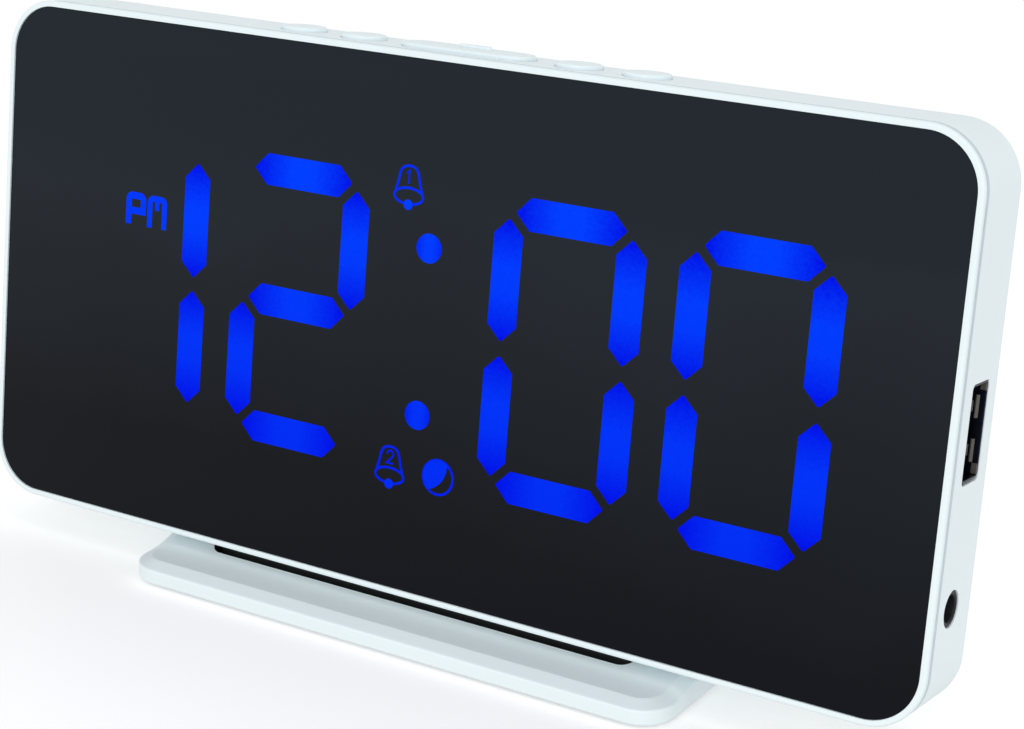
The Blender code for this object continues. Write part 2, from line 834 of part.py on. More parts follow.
def ramp_slab():
    """A slab with an inset top edge, cut across at many places and raised to the ramp's height."""
    length = FOOT_BACK - FOOT_FRONT
    shape = flat([rounded(FOOT_W, length, FOOT_RADIUS, (0.0, 0.0), 8)], FOOT_BOTTOM, 2.65, "XY")
    top = [f for f in shape.faces if f.normal.z > 0.9 or f.calc_center_median().z > 2.6]
    top = [f for f in top if abs(f.calc_center_median().z - 2.65) < 0.01]
    bmesh.ops.dissolve_faces(shape, faces=top)
    shape.faces.ensure_lookup_table()
    top = [f for f in shape.faces if abs(f.calc_center_median().z - 2.65) < 0.01]
    bmesh.ops.inset_region(shape, faces=top, thickness=FOOT_BEVEL, depth=0.0, use_even_offset=True)
    top = [f for f in shape.faces if abs(f.calc_center_median().z - 2.65) < 0.01 and f.calc_area() > 1000]
    crown = {v for f in top for v in f.verts}
    bmesh.ops.translate(shape, vec=(0, 0, 1.0), verts=list(crown))
    stations = [-4.0 + CASE_FLOOR_Y + 0.75 * i for i in range(12)]
    stations += [-11.5, -9.0, -6.0, -3.5, -2.6, 6.0, 16.0]
    for y in stations:
        everything = shape.verts[:] + shape.edges[:] + shape.faces[:]
        bmesh.ops.bisect_plane(shape, geom=everything, dist=0.00001, plane_co=(0, y, 0), plane_no=(0, 1, 0))
    for v in shape.verts:
        if v.co.z > 3.0:
            v.co.z = ramp(v.co.y)
        elif v.co.z > 2.0:
            v.co.z = ramp(v.co.y) - FOOT_BEVEL_DROP
    return shape


foot_shell = finish(ramp_slab(), "foot_shell", (0, 0, 0), WHITE, False, False)
foot_room = plate(
    "foot_room_cutter",
    [rounded(FOOT_W - 3.2, 46.8, 3.6, (0.0, 0.0), 6)],
    -0.5,
    2.55,
    plane="XY",
    cutter=True,
    tilted=False,
)
slot_middle = (0.0, (SLOT_FRONT + SLOT_BACK) / 2)
foot_slot = plate(
    "foot_slot_cutter",
    [rounded(2 * SLOT_HALF, SLOT_BACK - SLOT_FRONT, 2.2, slot_middle, 6)],
    2.0,
    8.0,
    plane="XY",
    cutter=True,
    tilted=False,
)
combine(foot_shell, foot_room, "DIFFERENCE")
combine(foot_shell, foot_slot, "DIFFERENCE")

PAD_PLACES = [(sx * 38.0, sy * 18.0) for sx in (-1, 1) for sy in (-1, 1)]
BASE_SCREWS = [(-12.0, -9.8), (12.0, -9.8)]
base_plate = plate(
    "foot_base_plate",
    [rounded(FOOT_W - 3.8, 46.2, 3.3, (0.0, 0.0), 6)],
    0.5,
    1.3,
    BLACK,
    plane="XY",
    tilted=False,
)
pad_seats = plate(
    "pad_seat_cutter",
    [circle(4.3, place, 24) for place in PAD_PLACES],
    0.0,
    0.85,
    plane="XY",
    cutter=True,
    tilted=False,
)
combine(base_plate, pad_seats, "DIFFERENCE")
threads = []
for number, (x, y) in enumerate(BASE_SCREWS, 1):
    sink = turned(
        f"base_screw_{number}_sink",
        [(2.75, 0.2), (1.3, 1.5)],
        "Z",
        (x, y, 0),
        cutter=True,
        tilted=False,
        steps=18,
    )
    combine(base_plate, sink, "DIFFERENCE")
    screw = turned(
        f"base_screw_{number}",
        [(1.9, 0.5), (1.9, 0.62), (1.0, 1.4), (1.0, 3.6), (0.5, 4.2)],
        "Z",
        (x, y, 0),
        STEEL,
        tilted=False,
        steps=16,
    )
    cross_recess(screw, f"base_screw_{number}", (x, y, 0.5), "+Z", False)
    threads.append(
        turned(
            f"base_screw_{number}_thread",
            [(1.25, 0.5), (1.25, 4.6)],
            "Z",
            (x, y, 0),
            None,
            True,
            False,
            14,
        )
    )

plate(
    "foot_weight", [rounded(86.0, 24.0, 3.0, (0.0, 10.6), 4)], 1.5, 2.4, STEEL, plane="XY", tilted=False
)
for number, (x, y) in enumerate(PAD_PLACES, 1):
    turned(
        f"foot_pad_{number}",
        [(3.8, 0.0), (4.0, 0.15), (4.0, 0.7)],
        "Z",
        (x, y, 0),
        RUBBER,
        tilted=False,
        steps=20,
    )

# Every cut is settled while the case stands upright, and then the case leans back.
bpy.context.view_layer.update()
graph = bpy.context.evaluated_depsgraph_get()
settled = {}
for thing in parts.objects:
    if thing.type == "MESH":
        settled[thing.name] = bpy.data.meshes.new_from_object(thing.evaluated_get(graph))
for name, mesh in settled.items():
    thing = parts.objects[name]
    thing.modifiers.clear()
    mesh.name = name
    thing.data = mesh
    smooth(thing)

lean.rotation_euler = (-LEAN, 0.0, 0.0)
lean.location = (
    0.0,
    (CASE_FLOOR_Y + 0.5 * CASE_H * math.sin(LEAN)) * MM,
    (CASE_FLOOR_Z + 0.5 * CASE_H * math.cos(LEAN)) * MM,
)
bpy.context.view_layer.update()

# The screws through the foot stand upright, so their bores are cut in the leaning neck.
for thread in threads:
    combine(neck, thread, "DIFFERENCE")
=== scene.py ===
"""Digital alarm clock: detailed surfaces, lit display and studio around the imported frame."""

import math

import bmesh
import bpy
from mathutils import Matrix, Vector


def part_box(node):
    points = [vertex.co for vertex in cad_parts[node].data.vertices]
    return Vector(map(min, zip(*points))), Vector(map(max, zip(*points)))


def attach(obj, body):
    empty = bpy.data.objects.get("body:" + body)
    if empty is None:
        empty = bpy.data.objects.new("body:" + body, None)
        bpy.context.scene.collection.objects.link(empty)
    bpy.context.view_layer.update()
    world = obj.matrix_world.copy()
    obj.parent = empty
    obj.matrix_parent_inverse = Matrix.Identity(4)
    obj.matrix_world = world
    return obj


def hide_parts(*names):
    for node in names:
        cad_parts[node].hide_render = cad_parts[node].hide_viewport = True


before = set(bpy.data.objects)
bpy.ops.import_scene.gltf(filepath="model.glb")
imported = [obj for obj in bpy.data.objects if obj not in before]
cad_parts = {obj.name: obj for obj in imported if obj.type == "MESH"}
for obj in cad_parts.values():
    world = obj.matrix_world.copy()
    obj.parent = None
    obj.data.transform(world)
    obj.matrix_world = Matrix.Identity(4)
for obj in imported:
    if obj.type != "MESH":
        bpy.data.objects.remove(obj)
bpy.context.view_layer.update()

MM = 0.001
LEAN = math.radians(7.0)
CASE_W = 162.0
CASE_H = 80.0
CASE_RADIUS = 8.5
CASE_FRONT = -0.3
CASE_BACK = 14.0
TOP = CASE_H / 2
SIDE = CASE_W / 2
BOTTOM_Y = -17.0
BOTTOM_Z = 5.6

# The case leans back: its own frame has x to the right, y into the case and z up, in mm,
# with its origin at the middle of the window's front face. BOTTOM_Y and BOTTOM_Z are where
# the case's lower front edge is in the world. The foot's pieces are made in world mm.
CASE_ORIGIN = Vector((0.0, BOTTOM_Y + TOP * math.sin(LEAN), BOTTOM_Z + TOP * math.cos(LEAN))) * MM
CASE = Matrix.Translation(CASE_ORIGIN) @ Matrix.Rotation(-LEAN, 4, "X") @ Matrix.Scale(MM, 4)
TABLE = Matrix.Scale(MM, 4)


# ---------------------------------------------------------------- materials


def shader_of(name):
    made = bpy.data.materials.new(name)
    made.use_nodes = True
    tree = made.node_tree
    return made, tree, tree.nodes["Principled BSDF"]


def noise(tree, scale, detail=2.0):
    where = tree.nodes.new("ShaderNodeTexCoord")
    cloud = tree.nodes.new("ShaderNodeTexNoise")
    cloud.inputs["Scale"].default_value = scale
    cloud.inputs["Detail"].default_value = detail
    tree.links.new(where.outputs["Object"], cloud.inputs["Vector"])
    return cloud.outputs["Fac"]


def ramp_between(tree, source, low, high, start=0.3, end=0.7):
    """Maps a value between start and end to low and high."""
    change = tree.nodes.new("ShaderNodeMapRange")
    change.inputs["From Min"].default_value = start
    change.inputs["From Max"].default_value = end
    change.inputs["To Min"].default_value = low
    change.inputs["To Max"].default_value = high
    tree.links.new(source, change.inputs["Value"])
    return change.outputs["Result"]


def mix_colors(tree, factor, first, second, mode="MIX"):
    """Mixes two colours. Each of them, and the factor, is a value or another node's output."""
    blend = tree.nodes.new("ShaderNodeMix")
    blend.data_type = "RGBA"
    blend.blend_type = mode
    for name, kind, value in (("Factor", "VALUE", factor), ("A", "RGBA", first), ("B", "RGBA", second)):
        target = next(s for s in blend.inputs if s.name == name and s.type == kind)
        if isinstance(value, bpy.types.NodeSocket):
            tree.links.new(value, target)
        else:
            target.default_value = (*value, 1.0) if kind == "RGBA" else value
    return next(s for s in blend.outputs if s.type == "RGBA")


def math_node(tree, operation, *values):
    """A math node whose inputs are numbers or other nodes' outputs."""
    made = tree.nodes.new("ShaderNodeMath")
    made.operation = operation
    for target, value in zip(made.inputs, values):
        if isinstance(value, bpy.types.NodeSocket):
            tree.links.new(value, target)
        else:
            target.default_value = value
    return made


def bump(tree, shader, height, strength, distance):
    relief = tree.nodes.new("ShaderNodeBump")
    relief.inputs["Strength"].default_value = strength
    relief.inputs["Distance"].default_value = distance
    tree.links.new(height, relief.inputs["Height"])
    tree.links.new(relief.outputs["Normal"], shader.inputs["Normal"])


def surface(
    name, color, rough, patches=18.0, grain=2500.0, vary=0.03, relief=0.1, depth=0.00002, **sockets
):
    """A surface whose colour drifts over broad patches and whose gloss and relief follow a fine grain."""
    made, tree, shader = shader_of(name)
    dull = tuple(c * (1 - vary) for c in color)
    bright = tuple(min(1.0, c * (1 + vary)) for c in color)
    drift = ramp_between(tree, noise(tree, patches), 0.0, 1.0)
    tree.links.new(mix_colors(tree, drift, dull, bright), shader.inputs["Base Color"])
    fine = noise(tree, grain, 3.0)
    tree.links.new(ramp_between(tree, fine, rough * 0.88, rough * 1.12), shader.inputs["Roughness"])
    if relief:
        bump(tree, shader, fine, relief, depth)
    for socket, value in sockets.items():
        shader.inputs[socket.replace("_", " ")].default_value = value
    made.diffuse_color = (*color, 1.0)
    return made


def height_share(tree, low, high, sway):
    """Rises from 0 to 1 between two heights above the table, along an uneven line."""
    where = tree.nodes.new("ShaderNodeTexCoord")
    split = tree.nodes.new("ShaderNodeSeparateXYZ")
    tree.links.new(where.outputs["Object"], split.inputs["Vector"])
    shift = math_node(tree, "MULTIPLY_ADD", noise(tree, 22.0, 3.0), sway, split.outputs["Z"])
    return ramp_between(tree, shift.outputs[0], 0.0, 1.0, low + sway / 2, high + sway / 2)


def smoked_window():
    """Glossy dark smoked acrylic with a painted reflection in its colour: lighter toward the top, darker
    toward the bottom.
    """
    made, tree, shader = shader_of("smoked_window")
    shaded_low = (0.0012, 0.0022, 0.0052)
    reflecting_high = (0.0100, 0.0150, 0.0215)
    # Painted reflection: the colour grows lighter with height.
    painted_reflection = mix_colors(tree, height_share(tree, 0.018, 0.060, 0.03), shaded_low, reflecting_high)
    tree.links.new(painted_reflection, shader.inputs["Base Color"])
    gloss = ramp_between(tree, noise(tree, 60.0, 3.0), 0.02, 0.05)
    tree.links.new(gloss, shader.inputs["Roughness"])
    shader.inputs["Specular IOR Level"].default_value = 0.11
    made.diffuse_color = (0.006, 0.009, 0.012, 1.0)
    return made


def lit_blue():
    """A light guide lit from behind: brightest over the middle of each bar, with a faint mottle.

    The glow map's first coordinate runs from 0 at a bar's middle to 1 at its tips.
    """
    made, tree, shader = shader_of("lit_blue")
    shader.inputs["Base Color"].default_value = (0.0, 0.0, 0.004, 1.0)
    shader.inputs["Roughness"].default_value = 0.03
    shader.inputs["Specular IOR Level"].default_value = 0.01
    glow_map = tree.nodes.new("ShaderNodeUVMap")
    glow_map.uv_map = "glow"
    split = tree.nodes.new("ShaderNodeSeparateXYZ")
    tree.links.new(glow_map.outputs["UV"], split.inputs["Vector"])
    along = math_node(tree, "ABSOLUTE", split.outputs["X"])
    fade = ramp_between(tree, along.outputs[0], 1.0, 0.05, 0.2, 0.95)
    mottle = ramp_between(tree, noise(tree, 2200.0, 4.0), -0.16, 0.16, 0.25, 0.75)
    grained = math_node(tree, "ADD", fade, mottle)
    grained.use_clamp = True
    upper = ramp_between(tree, height_share(tree, 0.02, 0.065, 0.01), 0.45, 1.0, 0.0, 1.0)
    total = math_node(tree, "MULTIPLY", grained.outputs[0], upper)
    glow = mix_colors(tree, total.outputs[0], (0.0, 0.004, 0.80), (0.0, 0.050, 1.0))
    tree.links.new(glow, shader.inputs["Emission Color"])
    shader.inputs["Emission Strength"].default_value = 1.0
    made.diffuse_color = (0.0, 0.03, 1.0, 1.0)
    return made


WHITE = surface("satin_white", (0.795, 0.885, 0.910), 0.40, vary=0.012, relief=0.06)
# A darker white for the faces in the groove round the case: painted shade in the crease.
GROOVE_SHADE = surface("groove_painted_shade", (0.60, 0.69, 0.72), 0.50, vary=0.03, relief=0.06)
WINDOW = smoked_window()
LIT = lit_blue()
GUIDE = surface("unlit_guide", (0.45, 0.48, 0.52), 0.30, vary=0.04)
BLACK = surface("black_plastic", (0.010, 0.011, 0.013), 0.42, vary=0.15, relief=0.15)
BOX_BLACK = surface("light_box_black", (0.012, 0.012, 0.013), 0.65, vary=0.10, relief=0.2)
BOARD = surface(
    "green_board", (0.015, 0.085, 0.035), 0.35, patches=120.0, grain=900.0, vary=0.20, relief=0.2
)
STEEL = surface("plated_steel", (0.62, 0.63, 0.65), 0.24, grain=1800.0, vary=0.05, Metallic=1.0)
SOCKET_STEEL = surface("socket_steel", (0.018, 0.022, 0.040), 0.34, grain=1800.0, vary=0.10, Metallic=1.0)
TAB_STEEL = surface("tab_steel", (0.12, 0.112, 0.098), 0.42, grain=1800.0, vary=0.10, Metallic=0.25)
BRASS = surface("contact_brass", (0.72, 0.52, 0.24), 0.26, grain=1800.0, vary=0.07, Metallic=1.0)
JACK = surface("jack_plastic", (0.008, 0.009, 0.010), 0.5, vary=0.12, Specular_IOR_Level=0.2)
SLATE = surface("slate_plastic", (0.034, 0.052, 0.062), 0.30, vary=0.15, relief=0.15)
NAVY = surface("socket_plastic", (0.010, 0.013, 0.030), 0.30, vary=0.15)
RUBBER = surface(
    "grey_rubber", (0.09, 0.09, 0.10), 0.80, grain=3500.0, vary=0.10, relief=0.4, depth=0.00005
)
SENSOR = surface("sensor_lens", (0.16, 0.17, 0.18), 0.12, vary=0.05, relief=0.0)


# ---------------------------------------------------------------- shapes


SHARP_ANGLE = math.radians(32.0)
SLAB_HOLD = 0.08
SLAB_CAP = 0.3


def arc(centre, radius, start, end, steps):
    """Points along an arc from one angle to another, in degrees."""
    points = []
    for i in range(steps + 1):
        angle = math.radians(start + (end - start) * i / steps)
        points.append((centre[0] + radius * math.cos(angle), centre[1] + radius * math.sin(angle)))
    return points


def rounded(width, height, radius, centre=(0.0, 0.0), steps=14):
    """A rounded rectangle as a function of how far in from its outline the loop runs."""

    def outline(inset):
        turn = max(radius - inset, 0.02)
        half_w = width / 2 - inset - turn
        half_h = height / 2 - inset - turn
        points = []
        for sign_x, sign_y, start in ((1, 1, 0), (-1, 1, 90), (-1, -1, 180), (1, -1, 270)):
            corner = (centre[0] + sign_x * half_w, centre[1] + sign_y * half_h)
            points += arc(corner, turn, start, start + 90, steps)
        return points

    return outline


def circle(radius, centre=(0.0, 0.0), steps=64):
    return lambda inset: arc(centre, radius - inset, 0.0, 360.0, steps)[:-1]


def stadium(half, radius, centre=(0.0, 0.0), steps=28):
    """A bar with round ends whose centres are half to either side of its middle."""

    def outline(inset):
        right = arc((centre[0] + half, centre[1]), radius - inset, -90, 90, steps)
        return right + arc((centre[0] - half, centre[1]), radius - inset, 90, 270, steps)

    return outline


def fillet(corners, closed=False, steps=5, hold=0.1):
    """Rounds a profile's corners, each (inset, along, radius).

    A point hold away from each rounding keeps the flat beside it flat when shaded smooth.
    """
    out = []
    count = len(corners)
    for i, (u, v, radius) in enumerate(corners):
        if radius <= 0 or (not closed and i in (0, count - 1)):
            out.append((u, v))
            continue
        here = Vector((u, v))
        before = (Vector(corners[i - 1][:2]) - here).normalized()
        after = (Vector(corners[(i + 1) % count][:2]) - here).normalized()
        half = before.angle(after) / 2
        reach = radius / math.tan(half)
        centre = here + (before + after).normalized() * (radius / math.sin(half))
        start = here + before * reach - centre
        end = here + after * reach - centre
        turn = start.angle(end)
        if hold:
            out.append(tuple(centre + start + before * hold))
        for k in range(steps + 1):
            t = k / steps
            spoke = (start * math.sin((1 - t) * turn) + end * math.sin(t * turn)) / math.sin(turn)
            out.append(tuple(centre + spoke))
        if hold:
            out.append(tuple(centre + end + after * hold))
    return out


def place(u, v, along, plane):
    """Plane XZ is seen from the front, XY from above, and YZ from the side."""
    return {"XZ": (u, along, v), "XY": (u, v, along), "YZ": (along, u, v)}[plane]


def join_loops(shape, loops):
    for near, far in zip(loops, loops[1:]):
        for i in range(len(near)):
            j = (i + 1) % len(near)
            shape.faces.new((near[i], near[j], far[j], far[i]))


def sweep(outline, profile, plane="XZ", closed=False, shape=None):
    """Joins loops of one outline, each at its own inset and place along the axis."""
    shape = shape or bmesh.new()
    loops = []
    for inset, along in profile:
        loops.append([shape.verts.new(place(u, v, along, plane)) for u, v in outline(inset)])
    join_loops(shape, loops + loops[:1] if closed else loops)
    if not closed:
        shape.faces.new(loops[0])
        shape.faces.new(loops[-1])
    bmesh.ops.recalc_face_normals(shape, faces=shape.faces)
    return shape


def slab(outline, low, high, plane="XZ", low_round=0.0, high_round=0.0, shape=None):
    """A plate between two depths, with its edges rounded."""
    corners = [
        (low_round + SLAB_CAP, low, 0),
        (0, low, low_round),
        (0, high, high_round),
        (high_round + SLAB_CAP, high, 0),
    ]
    return sweep(outline, fillet(corners, hold=SLAB_HOLD), plane, shape=shape)


def brick(low, high):
    shape = bmesh.new()
    bmesh.ops.create_cube(shape, size=1.0)
    bmesh.ops.scale(shape, vec=[b - a for a, b in zip(low, high)], verts=shape.verts)
    bmesh.ops.translate(shape, vec=[(a + b) / 2 for a, b in zip(low, high)], verts=shape.verts)
    return shape


def mesh_object(name, shape, frame_matrix=CASE):
    shape.transform(frame_matrix)
    mesh = bpy.data.meshes.new(name)
    shape.to_mesh(mesh)
    shape.free()
    made = bpy.data.objects.new(name, mesh)
    bpy.context.scene.collection.objects.link(made)
    return made


def carve(made, cutters):
    """Cuts shapes, each given with its own frame, out of an object's mesh."""
    tools = [mesh_object("cutter", shape, frame_matrix) for shape, frame_matrix in cutters]
    for tool in tools:
        change = made.modifiers.new("cut", "BOOLEAN")
        change.operation = "DIFFERENCE"
        change.solver = "EXACT"
        change.object = tool
    bpy.context.view_layer.update()
    graph = bpy.context.evaluated_depsgraph_get()
    mesh = bpy.data.meshes.new_from_object(made.evaluated_get(graph))
    made.modifiers.clear()
    made.data = mesh
    for tool in tools:
        bpy.data.objects.remove(tool, do_unlink=True)


def dress(made, look, replaces=(), body="clock"):
    """Gives a piece its material, smooth shading and body, and hides the CAD nodes it stands for."""
    made.data.materials.append(look)
    made.data.shade_smooth()
    made.data.set_sharp_from_angle(angle=SHARP_ANGLE)
    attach(made, body)
    if replaces:
        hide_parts(*replaces)
    return made


# ---------------------------------------------------------------- case

GROOVE = 0.78
GROOVE_START = 0.46
GROOVE_END = 1.5
RIM = 0.95
LEDGE = 8.0
LEDGE_FRONT = 1.25
LEDGE_BACK = 2.35
WALL = 2.0
COVER_SEAT = 12.2

# Each corner is (inset from the case's outline, y, radius), from the window's recess over the
# rim and the groove to the back, and inside the wall forward to the ledge behind the window.
case_profile = fillet(
    [
        (RIM, LEDGE_FRONT, 0),
        (RIM, CASE_FRONT, 0.10),
        (0.0, CASE_FRONT, 0.38),
        (0.0, GROOVE_START, 0.06),
        (GROOVE, 0.72, 0.1),
        (GROOVE, 0.98, 0.12),
        (0.0, GROOVE_END, 0.25),
        (0.0, CASE_BACK, 1.4),
        (WALL - 0.3, CASE_BACK, 0.1),
        (WALL - 0.3, COVER_SEAT, 0),
        (WALL, COVER_SEAT, 0),
        (WALL, LEDGE_BACK, 0),
        (LEDGE, LEDGE_BACK, 0),
        (LEDGE, LEDGE_FRONT, 0),
    ],
    closed=True,
    steps=7,
    hold=0.06,
)
case_outline = rounded(CASE_W, CASE_H, CASE_RADIUS, steps=20)
case = mesh_object("case_shell", sweep(case_outline, case_profile, closed=True))

BUTTON_Y = 6.7
BUTTON_R = 3.35
BUTTON_HOLE_R = BUTTON_R + 0.14
BUTTON_X = (-29.0, -18.2, 18.2, 29.0)
BAR_HALF = 7.4
SENSOR_PLACE = (-39.8, 6.2)
USB_Y, USB_Z = 7.0, 0.25
JACK_Y, JACK_Z = 6.0, -23.4
HOLE_DEPTH = 3.0
PAST = 0.001
CLEAR = 1.0


def hole(outline, surface_at, plane, chamfer):
    """A cutter through a wall whose mouth flares at the outer surface."""
    profile = [
        (0, surface_at - HOLE_DEPTH),
        (0, surface_at - chamfer),
        (-chamfer, surface_at + PAST),
        (-chamfer, surface_at + CLEAR),
    ]
    return sweep(outline, profile, plane), CASE


holes = [hole(circle(BUTTON_HOLE_R, (x, BUTTON_Y)), TOP, "XY", 0.07) for x in BUTTON_X]
holes.append(hole(stadium(BAR_HALF, BUTTON_HOLE_R, (0.0, BUTTON_Y)), TOP, "XY", 0.07))
holes.append(hole(circle(0.55, SENSOR_PLACE, 32), TOP, "XY", 0.25))
holes.append(hole(rounded(5.9, 13.5, 0.75, (USB_Y, USB_Z), 8), SIDE, "YZ", 0.05))
holes.append(hole(circle(2.58, (JACK_Y, JACK_Z)), SIDE, "YZ", 0.08))
carve(case, holes)
dress(case, WHITE, ["front_case"])
# The second material, the darker white, goes on the faces in the groove: painted shade in the crease.
case.data.materials.append(GROOVE_SHADE)
to_case = CASE.inverted()
for face in case.data.polygons:
    spot = to_case @ face.center
    past_x = abs(spot.x) - (SIDE - CASE_RADIUS)
    past_z = abs(spot.z) - (TOP - CASE_RADIUS)
    in_corner = min(past_x, past_z) > 0
    inset = CASE_RADIUS - (math.hypot(past_x, past_z) if in_corner else max(past_x, past_z))
    if GROOVE_START < spot.y < GROOVE_END and 0.02 < inset < RIM - 0.05:
        face.material_index = 1

WINDOW_INSET = 0.98
window_outline = rounded(
    CASE_W - 2 * WINDOW_INSET, CASE_H - 2 * WINDOW_INSET, CASE_RADIUS - WINDOW_INSET, steps=20
)
window = mesh_object("window_glass", slab(window_outline, 0.0, 1.0, low_round=0.03))
dress(window, WINDOW, ["window_panel"])

# ---------------------------------------------------------------- lit display

DIGIT_X = (-52.1, -22.8, 22.8, 52.1)
COLUMN = 9.8
ROW = 19.65
BAR_LONG = 17.64
BAR_WIDE = 4.72
LIT_FRONT = -0.012
LIFT = 0.002  # marks that cross stand this much apart, so that no two faces share a plane
STROKE_BACK = 0.4
GUIDE_FRONT = 1.45
GUIDE_BACK = 5.75
WEB_DEPTH = 0.5
SHOWN = ("bc", "abdeg", "abcdef", "abcdef")
BARS = ("bc", "abcdefg", "abcdefg", "abcdefg")
BAR_PLACES = {
    "a": (0.0, ROW, False),
    "b": (COLUMN, ROW / 2, True),
    "c": (COLUMN, -ROW / 2, True),
    "d": (0.0, -ROW, False),
    "e": (-COLUMN, -ROW / 2, True),
    "f": (-COLUMN, ROW / 2, True),
    "g": (0.0, 0.0, False),
}


class Marks:
    """Collects a lens's prisms: lit ones reach the window's face, and unlit ones stop behind it."""

    def __init__(self):
        self.shape = bmesh.new()
        self.glow = self.shape.loops.layers.uv.new("glow")

    def prism(self, outline, front, back, lit, glow_at=lambda u, v: 0.15):
        near = [self.shape.verts.new((u, front, v)) for u, v in outline]
        far = [self.shape.verts.new((u, back, v)) for u, v in outline]
        faces = [self.shape.faces.new(near), self.shape.faces.new(list(reversed(far)))]
        for i in range(len(near)):
            j = (i + 1) % len(near)
            faces.append(self.shape.faces.new((near[i], far[i], far[j], near[j])))
        for face in faces:
            face.material_index = 0 if lit else 1
            for corner in face.loops:
                corner[self.glow].uv = (glow_at(corner.vert.co.x, corner.vert.co.z), 0.0)

    def ribbon(self, points, width, closed=False, front=LIT_FRONT, dim=0.6):
        """A stroke of even width along a line of points, as one strip of box sections."""
        count = len(points)
        sides = ([], [])
        for i, point in enumerate(points):
            here = Vector(point)
            before = Vector(points[i - 1]) if closed or i else None
            after = Vector(points[(i + 1) % count]) if closed or i < count - 1 else None
            ways = []
            if before is not None:
                ways.append((here - before).normalized())
            if after is not None:
                ways.append((after - here).normalized())
            along = sum(ways, Vector((0, 0))).normalized()
            across = Vector((-along.y, along.x))
            stretch = 1.0 / max(0.4, across.dot(Vector((-ways[0].y, ways[0].x))))
            for side, sign in zip(sides, (1, -1)):
                side.append(here + across * (sign * width / 2 * stretch))
        sections = []
        for left, right in zip(*sides):
            corners = ((left, front), (right, front), (right, STROKE_BACK), (left, STROKE_BACK))
            sections.append([self.shape.verts.new((p[0], y, p[1])) for p, y in corners])
        pairs = list(zip(sections, sections[1:])) + ([(sections[-1], sections[0])] if closed else [])
        faces = []
        for a, b in pairs:
            faces += [self.shape.faces.new((a[k], a[k - 1], b[k - 1], b[k])) for k in range(4)]
        if not closed:
            faces += [self.shape.faces.new(sections[0]), self.shape.faces.new(sections[-1])]
        for face in faces:
            for corner in face.loops:
                corner[self.glow].uv = (dim, 0.0)

    def done(self, name, node, web):
        """Adds the clear web that carries the prisms, and makes the piece."""
        sweep(web, [(0, GUIDE_BACK), (0, GUIDE_BACK + WEB_DEPTH)], shape=self.shape)
        for face in self.shape.faces:
            if min(v.co.y for v in face.verts) >= GUIDE_BACK - 0.01:
                face.material_index = 1
        bmesh.ops.recalc_face_normals(self.shape, faces=self.shape.faces)
        made = dress(mesh_object(name, self.shape), LIT, [node])
        made.data.materials.append(GUIDE)


def bar_outline(x, z, upright):
    """One bar with pointed ends whose corners are slightly eased."""
    long = BAR_LONG / 2
    wide = BAR_WIDE / 2
    tip = wide * 0.98
    raw = [(-long, 0.0), (-long + tip, -wide), (long - tip, -wide)]
    raw += [(long, 0.0), (long - tip, wide), (-long + tip, wide)]
    eased = fillet([(u, v, 0.3) for u, v in raw], closed=True, steps=3, hold=0)
    if upright:
        eased = [(-v, u) for u, v in eased]
    return [(x + u, z + v) for u, v in eased]


def bar_glow(x, z, upright):
    """Says how far along a bar a point is, from -1 to 1."""
    return lambda px, pz: ((pz - z) if upright else (px - x)) / (BAR_LONG / 2)


for number, (middle, shown, bars) in enumerate(zip(DIGIT_X, SHOWN, BARS), 1):
    marks = Marks()
    for letter in bars:
        dx, z, upright = BAR_PLACES[letter]
        lit = letter in shown
        front = LIT_FRONT if lit else GUIDE_FRONT
        bar_place = (middle + dx, z, upright)
        marks.prism(bar_outline(*bar_place), front, GUIDE_BACK, lit, bar_glow(*bar_place))
    web = rounded(25.4, 45.2, 0.6, (middle, 0), 3)
    if number == 1:
        web = rounded(6.0, 40.0, 0.6, (middle + COLUMN, 0.0), 3)
    marks.done(f"digit_{number}_lit", f"digit_{number}_lens", web)

BELL_SIDE = [
    (-6.38, 20.0), (-6.10, 20.85), (-5.90, 21.7), (-5.75, 22.5), (-5.55, 23.02),
    (-5.15, 23.4), (-4.65, 23.58), (-4.1, 23.63), (-3.6, 23.57), (-3.12, 23.36),
    (-2.76, 22.95), (-2.55, 22.35), (-2.38, 21.6), (-2.16, 20.8), (-1.86, 20.0),
]
BELL_MIDDLE = -4.1
BELL_DROP = 41.45
ONE = [(-4.62, 22.5), (-4.2, 22.95), (-4.2, 21.05)]
TWO = [
    (-4.72, 22.45), (-4.62, 22.78), (-4.35, 23.0), (-4.02, 23.02), (-3.72, 22.84),
    (-3.6, 22.5), (-3.72, 22.15), (-4.05, 21.8), (-4.72, 21.12), (-3.5, 21.12),
]
MOON = (4.3, -20.72)
MOON_RADIUS = 2.56
MOON_SHADE = (1.65, -18.83, 4.1)
COLON_RADIUS = 2.15
COLON_Z = 12.29
OUTLINE_STROKE = 0.36
SIGN_STROKE = 0.27


def ellipse(centre, wide, high, steps=48):
    turns = [math.radians(360.0 * i / steps) for i in range(steps)]
    return [(centre[0] + wide * math.cos(a), centre[1] + high * math.sin(a)) for a in turns]


def moon_fill():
    """The moon's disc as far as the shadow's edge, which is an arc of a wider circle."""
    steps = 72
    points = []
    shade_x, shade_z, shade_radius = MOON_SHADE
    to_x, to_z = MOON[0] - shade_x, MOON[1] - shade_z
    for i in range(steps):
        angle = math.radians(360.0 * i / steps)
        c, s = math.cos(angle), math.sin(angle)
        half = to_x * c + to_z * s
        to_edge = -half + math.sqrt(half * half - (to_x * to_x + to_z * to_z - shade_radius * shade_radius))
        reach = min(to_edge, MOON_RADIUS)
        points.append((MOON[0] + reach * c, MOON[1] + reach * s))
    return points


